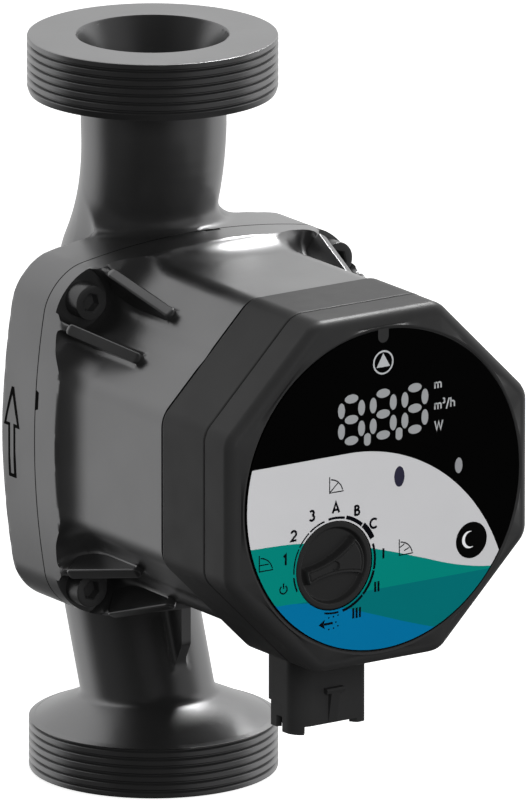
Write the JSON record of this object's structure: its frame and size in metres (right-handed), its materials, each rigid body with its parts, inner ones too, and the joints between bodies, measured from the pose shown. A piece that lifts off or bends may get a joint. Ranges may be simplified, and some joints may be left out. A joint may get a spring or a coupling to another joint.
{
  "type": "circulator pump",
  "caption": "Wet-rotor heating circulator with inline threaded ports, square-flanged canned motor and octagonal control box with dial, key and display.",
  "frame": {"origin": "centre of the lower (inlet) port's flat face", "axes": "+Z along the flow from the lower port to the upper port, -Y is the front with the control box"},
  "size_m": [0.0904, 0.1281, 0.18],
  "materials": {
    "pump_paint": "dark grey metallic paint over cast iron, satin gloss",
    "motor_paint": "dark grey metallic paint over die-cast aluminium, satin gloss",
    "steel": "plain stainless",
    "bolt_steel": "black oxide",
    "seal_rubber": "matt",
    "carbon": "carbon graphite",
    "ceramic": "ground ceramic",
    "laminations": "varnished sheet stack",
    "insulation": "moulded",
    "winding_copper": "enamelled copper wire",
    "magnet": "sintered",
    "impeller_plastic": "moulded",
    "box_plastic": "fine matt texture",
    "label_film": "printed satin film",
    "circuit_board": "solder mask",
    "capacitor_sleeve": "shrink sleeve",
    "chip_plastic": "moulded",
    "heat_pad": "soft filled silicone",
    "contact_brass": "plated",
    "display_plastic": "smoked window",
    "led_lens": "clear moulded light guides",
    "knob_plastic": "satin",
    "spindle_plastic": "moulded",
    "button_plastic": "satin"
  },
  "bodies": {
    "housing": {"pump_housing": "pump_paint", "motor_housing": "motor_paint", "wear_ring": "steel", "bearing_plate": "steel", "rotor_can": "steel", "box_fixing_screws": "steel", "cover_screws": "steel", "flange_bolts": "bolt_steel", "housing_gasket": "seal_rubber", "can_seal": "seal_rubber", "box_seal": "seal_rubber", "front_bearing": "carbon", "rear_bearing": "carbon", "stator_core": "laminations", "slot_insulators": "insulation", "stator_connector": "insulation", "stator_windings": "winding_copper", "filter_choke": "winding_copper", "box_rear_shell": "box_plastic", "box_cover": "box_plastic", "power_socket": "box_plastic", "face_label": "label_film", "power_board": "circuit_board", "control_board": "circuit_board", "storage_capacitors": "capacitor_sleeve", "power_module": "chip_plastic", "display_module": "chip_plastic", "night_switch": "chip_plastic", "selector_encoder": "chip_plastic", "heat_pad": "heat_pad", "board_link": "contact_brass", "socket_pins": "contact_brass", "display_window": "display_plastic", "status_leds": "led_lens", "light_guides": "led_lens"},
    "rotor": {"rotor_shaft": "ceramic", "rotor_magnet": "magnet", "rotor_sleeve": "steel", "thrust_washer": "carbon", "impeller": "impeller_plastic", "impeller_shroud": "impeller_plastic"},
    "selector": {"selector_spindle": "spindle_plastic", "selector_knob": "knob_plastic"},
    "night_key": {"night_button": "button_plastic"}
  },
  "joints": [
    {"name": "rotor_spin", "type": "hinge", "parent": "housing", "child": "rotor", "pos_m": [0, -0.04, 0.09], "axis": [0, 1, 0], "continuous": true},
    {"name": "selector_turn", "type": "hinge", "parent": "housing", "child": "selector", "pos_m": [-0.0139, -0.094, 0.0738], "axis": [0, 1, 0], "range_deg": [0, 291]},
    {"name": "night_key_press", "type": "slide", "parent": "housing", "child": "night_key", "axis": [0, 1, 0], "range_m": [0, 0.0008], "stiffness_N_per_m": 2500}
  ]
}
